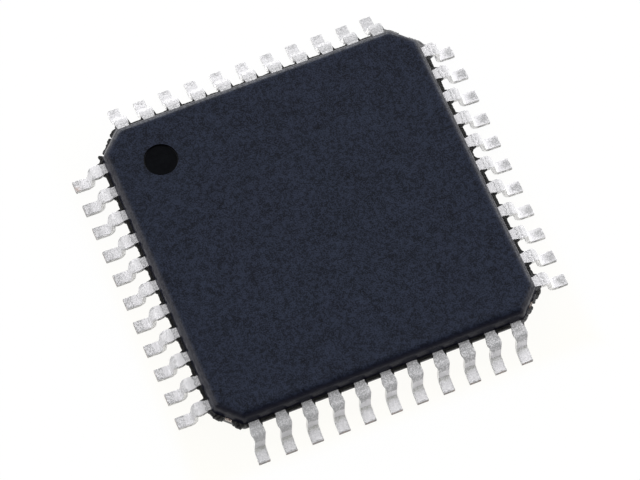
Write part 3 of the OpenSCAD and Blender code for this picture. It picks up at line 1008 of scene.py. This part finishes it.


# Line marks where the forming tool pressed are wear; the darker necks beside the body, the dulled knees,
# slopes,  heels and feet, and the front row's heel stain are partly painted shade, set row by row
ROW_MARKS = {
    "left": (
        Mark(-0.2, -0.1, 0.08, 0.13, 0.40, 1.0),
        line_mark(0.085, 0.7, 0.04),
        Mark(0.26, 0.38, 0.7, 0.82, 0.52, 0.3),
        Mark(0.30, 0.35, 0.42, 0.48, 0.5, 0.8, "edges"),
        Mark(0.76, 0.81, 0.90, 0.95, 0.5, 0.4),
        line_mark(1.14, 0.3, 0.05),
        Mark(1.12, 1.20, 1.5, 1.6, 0.42, 1.0),
        Mark(1.0, 1.12, 1.5, 1.6, 0.25, 0.8, "edges"),
        Mark(1.32, 1.35, 1.5, 1.6, 0.8, 0.5),
    ),
    "front": (
        Mark(-0.2, -0.1, 0.1, 0.2, 0.84, 0.8),
        line_mark(0.19, 0.7, 0.09),
        Mark(0.14, 0.22, 0.36, 0.44, 0.60, 0.7),
        Mark(0.34, 0.40, 0.45, 0.60, 0.45, 0.7, "edges"),
        Mark(0.34, 0.40, 0.48, 0.58, 0.66, 0.6),
        Mark(0.79, 0.82, 0.92, 1.08, 0.50, 0.5, "whole", True),
        Mark(0.95, 1.05, 1.5, 1.6, 0.14, 1.0),
        Mark(0.90, 1.0, 1.5, 1.6, 0.20, 0.8, "edges"),
        Mark(1.32, 1.35, 1.5, 1.6, 0.5, 0.5),
    ),
    "right": (
        line_mark(0.115, 0.35),
        line_mark(0.165, 1.0, 0.05),
        line_mark(0.21, 0.5),
        line_mark(0.27, 0.4),
        Mark(0.22, 0.30, 0.46, 0.56, 0.58, 0.25),
        Mark(0.98, 1.15, 1.30, 1.40, 0.65, 0.5, "middle"),
        Mark(1.10, 1.25, 1.5, 1.6, 0.34, 0.6),
    ),
    "back": (
        Mark(-0.2, -0.1, 0.12, 0.2, 0.68, 1.0),
        line_mark(0.07, 0.3),
        line_mark(0.16, 0.25),
        Mark(0.10, 0.18, 0.34, 0.44, 0.48, 0.4),
        Mark(0.34, 0.44, 0.56, 0.66, 0.72, 0.3),
        Mark(0.60, 0.70, 1.1, 1.2, 0.35, 0.2),
        Mark(1.05, 1.20, 1.5, 1.6, 0.38, 0.5),
        Mark(1.20, 1.28, 1.32, 1.38, 0.35, 0.9, "middle"),
    ),
}
# Where a mark down the middle fades and where one at the edges sets in, in parts of half the foot's width
MIDDLE_PARTS = (0.2, 0.95)
EDGE_PARTS = (0.55, 0.95)
# How far the ends of a mark waver, in millimetres along the strip, and how much the brushing dulls the tin
WAVER = 0.03
BRUSHED = 0.1
# Corner towards which a row gets painted shade, and the place along the strip at which that ends
ROW_SHADES = {"left": ((-1, -1), 0.85), "front": ((-1, -1), 2.0), "back": ((1, 1), 2.0)}
# Distances from that corner over which the painted shade fades, in metres, and over what length of strip it
# ends
SHADE_REACH = (1.0 * MM, 6.0 * MM)
SHADE_END = 0.1
# Toe on which the tin is worn through to the copper: its row and place, and the wear's spread and strength
WORN_ROW = "left"
WORN_PLACE = (-5.87 * MM, 3.92 * MM, 0.12 * MM)
WORN_SPREAD = 0.17 * MM
WORN_STRENGTH = 0.75
TIN_METAL = 0.06


def tin_material(leads, side):
    """Matte tin over copper with the wear of its row and painted shade set row by row."""
    material, tree, shader = new_material(f"matte_tin_{side}", Metallic=TIN_METAL)
    place = object_place(tree)
    strip = strip_place(tree)
    spot = axes(tree, strip)
    speckle = grain(tree, place, "tin speckle")
    cloud = grain(tree, place, "tin cloud")
    along = plus(tree, spot["X"], set_range(tree, cloud, -WAVER, WAVER))
    from_middle = math_node(tree, "ABSOLUTE", spot["Y"])
    edge = leads.foot_width / 2
    over = {
        "middle": blend(tree, from_middle, *scaled(MIDDLE_PARTS, edge), 1.0, 0.0),
        "edges": blend(tree, from_middle, *scaled(EDGE_PARTS, edge), 0.0, 1.0),
    }
    dull_and_shade = times(tree, streaks(tree, strip, "brushed tin"), BRUSHED)
    stain_and_shade = None
    for mark in ROW_MARKS[side]:
        amount = stretch(tree, along, *mark.limits)
        amount = times(tree, amount, set_range(tree, speckle, 1 - mark.broken, 1 + mark.broken))
        if mark.lies != "whole":
            amount = times(tree, amount, over[mark.lies])
        if mark.stain_and_shade:
            stain_and_shade = amount if stain_and_shade is None else plus(tree, stain_and_shade, amount)
        else:
            dull_and_shade = plus(tree, dull_and_shade, amount)
    # Painted shade on the leads towards a corner of the row
    if side in ROW_SHADES:
        (x, y), last = ROW_SHADES[side]
        away = vector_node(tree, "DISTANCE", place, (x * leads.toe * MM, y * leads.toe * MM, 0.0))
        dull_and_shade = plus(tree, dull_and_shade, times(tree, blend(tree, away, *SHADE_REACH, leads.corner_shade, 0.0),
                                      blend(tree, spot["X"], last - SHADE_END, last, 1.0, 0.0)))
    dull_and_shade = add(tree, "ShaderNodeClamp", {"Value": dull_and_shade}).outputs["Result"]
    tone = mix_colours(tree, dull_and_shade, leads.tin_colour, leads.dull_and_shade_colour)
    if stain_and_shade is not None:
        stain_and_shade = add(tree, "ShaderNodeClamp", {"Value": stain_and_shade}).outputs["Result"]
        tone = mix_colours(tree, stain_and_shade, tone, leads.stain_and_shade_colour)
    if side == WORN_ROW:
        away = vector_node(tree, "DISTANCE", place, WORN_PLACE)
        worn = times(tree, blend(tree, away, 0.0, WORN_SPREAD, WORN_STRENGTH, 0.0), speckle)
        tone = mix_colours(tree, worn, tone, leads.copper_colour)
    finish(tree, shader, "matte_tin", speckle, tone)
    return material


# How much painted shade the flanks of each row get beside the neck and beside the foot
ROW_FLANKS = {"left": (0.6, 0.36), "front": (0.6, 0.4), "right": (0.1, 0.52), "back": (0.5, 0.3)}
# Where along the strip, in millimetres, the first painted shade ends and the second sets in, and what is
# left of them between the blotches and in them
NECK_END = (0.35, 0.55)
FOOT_START = (0.85, 1.0)
BLOTCH_RANGE = (0.4, 1.6)
FLANK_METAL = 0.4


def flank_material(leads, side):
    """Stamped flank of a lead: painted shade beside the flat lengths, and paler than the tin down the slope
    as painted light.
    """
    material, tree, shader = new_material(f"stamped_flank_{side}", Metallic=FLANK_METAL)
    by_neck, by_foot = ROW_FLANKS[side]
    along = axes(tree, strip_place(tree))["X"]
    blotch = grain(tree, object_place(tree), "flank blotch")
    # Painted shade beside the neck and the foot, broken up by blotches
    dark = plus(tree, blend(tree, along, *NECK_END, by_neck, 0.0),
                blend(tree, along, *FOOT_START, 0.0, by_foot))
    dark = times(tree, dark, set_range(tree, blotch, *BLOTCH_RANGE))
    finish(tree, shader, "stamped_flank", blotch,
           mix_colours(tree, dark, leads.flank_colour, leads.shade_colour))
    return material


TOE_METAL = 0.3
TOE_SHADE = 0.4


def sheared_copper_material(leads):
    """Cut end of a toe: copper with tin smeared down over it."""
    material, tree, shader = new_material("sheared_copper", Metallic=TOE_METAL)
    smear = grain(tree, object_place(tree), "toe smear")
    both = [copper + dull_and_shade for copper, dull_and_shade in zip(leads.copper_colour, leads.dull_and_shade_colour)]
    tone = mix_colours(tree, smear, scaled(leads.dull_and_shade_colour, TOE_SHADE), scaled(both, TOE_SHADE))
    finish(tree, shader, "sheared_copper", smear, tone)
    return material


# Darkest shade of a streak in gold and copper, and of the adhesive between its flakes
STREAK_SHADE = 0.8
FLAKE_SHADE = 0.6
# Distances from the middle between which the tie bars are tarnished, in half widths of the body
BAR_ENDS = (1.26, 1.28)
# How metallic the adhesive and the die look, and the sizes of the die's blocks of circuit
ADHESIVE_METAL = 0.4
DIE_METAL = 0.6
BLOCKS_PER_METRE = 1900.0
BLOCK_TONES = 3.0


def wire_material(inside):
    """Drawn gold wire with fine streaks."""
    material, tree, shader = new_material("gold_wire", Metallic=1.0)
    lines = streaks(tree, object_place(tree), "drawn gold")
    finish(tree, shader, "gold_wire", lines, shades(tree, lines, inside.gold, STREAK_SHADE))
    return material


def paddle_material(body, inside):
    """Rolled copper with fine streaks, tarnished where its tie bars were sheared off at the corners."""
    material, tree, shader = new_material("rolled_copper")
    place = object_place(tree)
    lines = streaks(tree, place, "rolled copper")
    clean = shades(tree, lines, inside.copper, STREAK_SHADE)
    worn = mix_colours(tree, grain(tree, place, "bar smear"), inside.tarnish, inside.smear)
    out = vector_node(tree, "LENGTH", vector_node(tree, "MULTIPLY", place, (1.0, 1.0, 0.0)))
    ends = blend(tree, out, *scaled(BAR_ENDS, body.half), 0.0, 1.0)
    finish(tree, shader, "rolled_copper", lines, mix_colours(tree, ends, clean, worn))
    feed(tree, shader, Metallic=math_node(tree, "SUBTRACT", 1.0, ends))
    return material


def adhesive_material(inside):
    """Cured adhesive full of silver flakes."""
    material, tree, shader = new_material("silver_adhesive", Metallic=ADHESIVE_METAL)
    flakes = grain(tree, object_place(tree), "silver flakes")
    finish(tree, shader, "silver_adhesive", flakes, shades(tree, flakes, inside.adhesive, FLAKE_SHADE))
    return material


def die_material(inside):
    """Polished silicon with blocks of circuit on its top."""
    material, tree, shader = new_material("silicon_die", Metallic=DIE_METAL)
    place = object_place(tree)
    blocks = add(tree, "ShaderNodeTexVoronoi", {"Vector": place, "Scale": BLOCKS_PER_METRE},
                 distance="CHEBYCHEV")
    rows = add(tree, "ShaderNodeTexNoise", {"Vector": blocks.outputs["Color"], "Scale": BLOCK_TONES})
    lines = streaks(tree, place, "circuit lines")
    mask = times(tree, rows.outputs["Fac"], lines)
    finish(tree, shader, "silicon_die", lines, mix_colours(tree, mask, inside.silicon, inside.circuit))
    return material


def floor_material(stage):
    """White paper that keeps a faint shadow and a painted warm shade close to the near leads; its reflection
    fades towards the camera's side.
    """
    material = bpy.data.materials.new("white_paper")
    material.use_nodes = True
    tree = material.node_tree
    tree.nodes.remove(tree.nodes["Principled BSDF"])
    paper = add(tree, "ShaderNodeBsdfDiffuse", {"Color": (*stage.floor_colour, 1.0)})
    ray = add(tree, "ShaderNodeLightPath").outputs
    place = object_place(tree)
    toward = (-math.sin(stage.azimuth), -math.cos(stage.azimuth), 0.0)
    nearer = vector_node(tree, "DOT_PRODUCT", place, toward)
    fade = blend(tree, nearer, stage.fade_start, stage.fade_end, 1.0, stage.fade_level)
    shown = add(tree, "ShaderNodeMix", {"Factor": ray["Is Glossy Ray"], "A": 1.0, "B": fade})
    # Painted warm shade close to the near leads
    spread = axes(tree, vector_node(tree, "ABSOLUTE", place))
    far = math_node(tree, "MAXIMUM", spread["X"], spread["Y"])
    near = times(tree, blend(tree, far, stage.warm_start, stage.warm_end, 1.0, 0.0),
                 blend(tree, nearer, -stage.warm_start, stage.warm_start, 0.0, 1.0))
    tone = mix_colours(tree, near, (1.0, 1.0, 1.0), stage.warm_shade_colour)
    white = add(tree, "ShaderNodeEmission", {"Color": tone, "Strength": shown.outputs["Result"]})
    seen = math_node(tree, "ADD", ray["Is Camera Ray"], ray["Is Glossy Ray"], clamp=True)
    glow = times(tree, seen, stage.floor_glow)
    both = add(tree, "ShaderNodeMixShader", {0: glow, 1: paper.outputs[0], 2: white.outputs[0]})
    tree.links.new(both.outputs[0], tree.nodes["Material Output"].inputs["Surface"])
    return material


# How far over the middle, to the front and to the back, the ceiling goes from dark to bright
CEILING_BAND = 0.5


def studio_world(stage):
    """White walls, bright at the back and dim behind the camera, two soft boxes and a duller ceiling."""
    world = bpy.data.worlds.new("studio")
    world.use_nodes = True
    tree = world.node_tree
    direction = add(tree, "ShaderNodeTexCoord").outputs["Generated"]
    upward = axes(tree, direction)["Z"]
    level = vector_node(tree, "NORMALIZE", vector_node(tree, "MULTIPLY", direction, (1.0, 1.0, 0.0)))
    away = (math.sin(stage.azimuth), math.cos(stage.azimuth), 0.0)
    backward = vector_node(tree, "DOT_PRODUCT", level, away)
    walls = blend(tree, backward, -1.0, 1.0, stage.front_light, stage.wall_light)
    below = blend(tree, upward, math.sin(stage.wall_middle), math.sin(stage.wall_top), 1.0, 0.0)
    over = vector_node(tree, "DOT_PRODUCT", direction, away)
    ceiling = blend(tree, over, -CEILING_BAND, CEILING_BAND, 0.0, stage.dome_light)
    light = plus(tree, times(tree, walls, below), ceiling)
    soft_boxes = ((-1, stage.left_box, stage.left_rise), (1, stage.right_box, stage.right_rise))
    for sign, strength, rise in soft_boxes:
        flat = math.cos(rise)
        toward = (sign * math.cos(stage.box_swing) * flat, math.sin(stage.box_swing) * flat, math.sin(rise))
        facing = vector_node(tree, "DOT_PRODUCT", direction, toward)
        box = blend(tree, facing, math.cos(stage.box_outer), math.cos(stage.box_inner), 0.0, strength)
        light = plus(tree, light, box)
    background = tree.nodes["Background"]
    tree.links.new(light, background.inputs["Strength"])
    background.inputs["Color"].default_value = (1.0, 1.0, 1.0, 1.0)
    bpy.context.scene.world = world


# Nearest and farthest that the camera sees, in distances from camera to target
CLIP_PARTS = (1 / 20, 50)


def aim_camera(stage):
    """Camera at the photograph's angle."""
    azimuth, elevation = stage.azimuth, stage.elevation
    back = Vector((-math.sin(azimuth) * math.cos(elevation), -math.cos(azimuth) * math.cos(elevation),
                   math.sin(elevation)))
    right = Vector((math.cos(azimuth), -math.sin(azimuth), 0.0))
    facing = Matrix((right, back.cross(right), back)).transposed() @ Matrix.Rotation(stage.roll, 3, "Z")
    data = bpy.data.cameras.new("camera")
    data.sensor_fit = "HORIZONTAL"
    data.sensor_width = stage.sensor
    data.lens = stage.lens
    data.clip_start, data.clip_end = scaled(CLIP_PARTS, stage.distance)
    camera = bpy.data.objects.new("camera", data)
    camera.matrix_world = Matrix.Translation(Vector(stage.target) + back * stage.distance) @ facing.to_4x4()
    bpy.context.scene.collection.objects.link(camera)
    bpy.context.scene.camera = camera


class CHIP_OT_mould_body(bpy.types.Operator):
    """Model the resin body with its dimple, web and corner remnants"""
    bl_idname = "chip.mould_body"
    bl_label = "Mould the body"

    def execute(self, context):
        settings = context.scene.chip_body
        bm = model_body(in_mm(settings), in_mm(context.scene.chip_leads))
        materials = (resin_material(settings), polished_resin_material(), flash_material(settings))
        make_piece(bm, "moulded_body", materials, "mould_body")
        return {"FINISHED"}


class CHIP_OT_form_leads(bpy.types.Operator):
    """Stamp and form every lead"""
    bl_idname = "chip.form_leads"
    bl_label = "Form the leads"

    def execute(self, context):
        body = in_mm(context.scene.chip_body)
        leads = in_mm(context.scene.chip_leads)
        form = LeadForm(body, leads)
        tin = [tin_material(leads, side) for side in SIDES]
        flanks = [flank_material(leads, side) for side in SIDES]
        cut = sheared_copper_material(leads)
        for number in range(1, len(SIDES) * LEADS_PER_SIDE + 1):
            row = (number - 1) // LEADS_PER_SIDE
            materials = (tin[row], cut, flanks[row])
            bm = model_lead(body, leads, form, number)
            make_piece(bm, f"formed_lead_{number:02d}", materials, f"lead_{number:02d}")
        return {"FINISHED"}


class CHIP_OT_finish_inside(bpy.types.Operator):
    """Give the paddle, the die and the bond wires their finishes"""
    bl_idname = "chip.finish_inside"
    bl_label = "Finish the inside"

    def execute(self, context):
        inside = context.scene.chip_inside
        finishes = {
            "die_paddle": paddle_material(context.scene.chip_body, inside),
            "die_attach": adhesive_material(inside),
            "die": die_material(inside),
        }
        gold = wire_material(inside)
        finishes.update({f"bond_wires_{side}": gold for side in SIDES})
        for name, material in finishes.items():
            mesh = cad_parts[name].data
            mesh.materials.clear()
            mesh.materials.append(material)
        return {"FINISHED"}


# Squares along each side of the floor
FLOOR_STEPS = 8


class CHIP_OT_set_stage(bpy.types.Operator):
    """Lay the floor, light the scene and aim the camera"""
    bl_idname = "chip.set_stage"
    bl_label = "Set the stage"

    def execute(self, context):
        stage = context.scene.chip_stage
        bm = bmesh.new()
        bmesh.ops.create_grid(bm, x_segments=FLOOR_STEPS, y_segments=FLOOR_STEPS, size=stage.floor_half)
        mesh = bpy.data.meshes.new("floor")
        bm.to_mesh(mesh)
        bm.free()
        mesh.materials.append(floor_material(stage))
        floor = bpy.data.objects.new("floor", mesh)
        context.scene.collection.objects.link(floor)
        studio_world(stage)
        aim_camera(stage)
        context.scene.view_settings.view_transform = "Standard"
        return {"FINISHED"}


OPERATORS = (CHIP_OT_mould_body, CHIP_OT_form_leads, CHIP_OT_finish_inside, CHIP_OT_set_stage)


class CHIP_PT_panel(bpy.types.Panel):
    """The chip's operators and settings"""
    bl_idname = "CHIP_PT_panel"
    bl_label = "Chip"
    bl_space_type = "VIEW_3D"
    bl_region_type = "UI"
    bl_category = "Chip"

    def draw(self, context):
        for operator in OPERATORS:
            self.layout.operator(operator.bl_idname)
        for name in SETTINGS:
            group = getattr(context.scene, name)
            box = self.layout.box()
            box.label(text=group.bl_rna.name)
            for prop in own_properties(group):
                box.prop(group, prop.identifier)


SETTINGS = {
    "chip_body": BodySettings,
    "chip_leads": LeadSettings,
    "chip_inside": InsideSettings,
    "chip_stage": StageSettings,
}
CLASSES = (*SETTINGS.values(), *OPERATORS, CHIP_PT_panel)


def register():
    """Make the classes and the scene's settings known to Blender."""
    for item in CLASSES:
        bpy.utils.register_class(item)
    for name, group in SETTINGS.items():
        setattr(bpy.types.Scene, name, PointerProperty(type=group))


def unregister():
    """Take back what register did."""
    for name in SETTINGS:
        delattr(bpy.types.Scene, name)
    for item in reversed(CLASSES):
        bpy.utils.unregister_class(item)


def main():
    """Build the chip and its stage."""
    register()
    bpy.ops.chip.mould_body()
    bpy.ops.chip.form_leads()
    bpy.ops.chip.finish_inside()
    bpy.ops.chip.set_stage()


if __name__ == "__main__":
    main()
